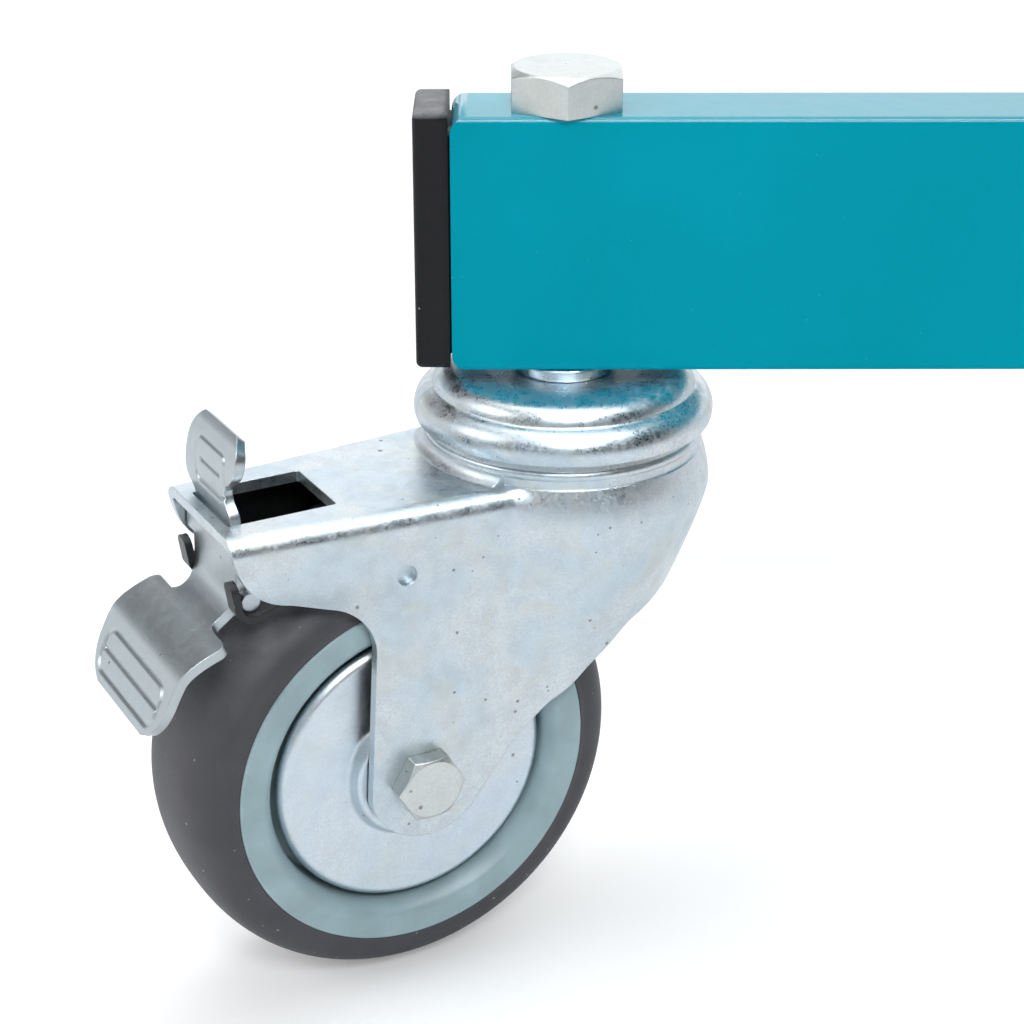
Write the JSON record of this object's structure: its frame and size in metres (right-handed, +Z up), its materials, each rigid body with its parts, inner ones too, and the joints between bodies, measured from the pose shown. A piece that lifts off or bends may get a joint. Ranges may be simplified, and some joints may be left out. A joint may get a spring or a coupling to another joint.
{
  "type": "braked swivel castor on a workbench foot rail",
  "caption": "Braked swivel castor bolted through the capped end of a rectangular steel foot rail of an adjustable workshop desk, with a foot pedal brake and a grey-tread wheel.",
  "frame": {"origin": "centre of the foot rail's open cut end, where the rest of the desk's frame carries it", "axes": "+X out of the open end along the rail towards the rest of the desk, +Z up, +Y away from the side that the picture shows"},
  "size_m": [0.1731, 0.0717, 0.1438],
  "materials": {
    "teal_paint": "glossy powder coat",
    "black_plastic": "moulded, fine satin grain",
    "bolt_zinc": "zinc plated, cold formed",
    "zinc_plate": "blue-bright zinc plate on pressed sheet, lightly scratched",
    "guard_zinc": "bright zinc plate on pressed sheet",
    "pedal_zinc": "zinc plated sheet with a pressed pattern",
    "ball_steel": "ground and greased",
    "grey_rim": "smooth moulded polypropylene",
    "tread_rubber": "matt thermoplastic rubber with fine dust",
    "black_steel": "black finished sheet with bare cut edges"
  },
  "bodies": {
    "rail": {"foot_rail": "teal_paint", "rail_end_cap": "black_plastic", "castor_bolt": "bolt_zinc", "bolt_washer": "bolt_zinc", "castor_nut": "bolt_zinc", "kingpin": "zinc_plate", "upper_race_cap": "zinc_plate", "lower_race_cup": "zinc_plate", "swivel_lock_ring": "zinc_plate"},
    "upper_balls": {"upper_balls": "ball_steel"},
    "lower_balls": {"lower_balls": "ball_steel"},
    "fork": {"swivel_fork": "zinc_plate", "axle_bolt": "bolt_zinc", "axle_nut": "bolt_zinc", "axle_tube": "bolt_zinc", "front_thread_guard": "guard_zinc", "rear_thread_guard": "guard_zinc", "bearing_inner_rings": "ball_steel"},
    "wheel": {"wheel_rim": "grey_rim", "tyre": "tread_rubber", "bearing_outer_rings": "ball_steel"},
    "bearing_balls": {"bearing_balls": "ball_steel"},
    "brake_plate": {"brake_plate": "black_steel"},
    "brake_pedal": {"brake_pedal": "pedal_zinc"}
  },
  "joints": [
    {"name": "swivel", "type": "hinge", "parent": "rail", "child": "fork", "pos_m": [-0.1, 0, -0.0271], "axis": [0, 0, 1], "continuous": true},
    {"name": "upper_balls_turn", "type": "hinge", "parent": "rail", "child": "upper_balls", "pos_m": [-0.1, 0, -0.0251], "axis": [0, 0, 1], "continuous": true},
    {"name": "lower_balls_turn", "type": "hinge", "parent": "rail", "child": "lower_balls", "pos_m": [-0.1, 0, -0.0309], "axis": [0, 0, 1], "continuous": true},
    {"name": "wheel_spin", "type": "hinge", "parent": "fork", "child": "wheel", "pos_m": [-0.12941, -0.01583, -0.08035], "axis": [0.4741, -0.8805, 0], "continuous": true},
    {"name": "bearing_balls_turn", "type": "hinge", "parent": "fork", "child": "bearing_balls", "pos_m": [-0.12941, -0.01583, -0.08035], "axis": [0.4741, -0.8805, 0], "continuous": true},
    {"name": "brake_plate_tilt", "type": "hinge", "parent": "fork", "child": "brake_plate", "pos_m": [-0.13117, -0.01678, -0.04435], "axis": [0.4741, -0.8805, 0], "range_deg": [-3, 0]},
    {"name": "brake_pedal_press", "type": "hinge", "parent": "brake_plate", "child": "brake_pedal", "pos_m": [-0.1516, -0.02778, -0.0457], "axis": [0.4741, -0.8805, 0], "range_deg": [-24, 0]}
  ],
  "couplings": [
    {"joint": "upper_balls_turn", "follows": "swivel", "ratio": 0.5},
    {"joint": "lower_balls_turn", "follows": "swivel", "ratio": 0.5},
    {"joint": "bearing_balls_turn", "follows": "wheel_spin", "ratio": 0.596},
    {"joint": "brake_plate_tilt", "follows": "brake_pedal_press", "ratio": 0.125}
  ]
}
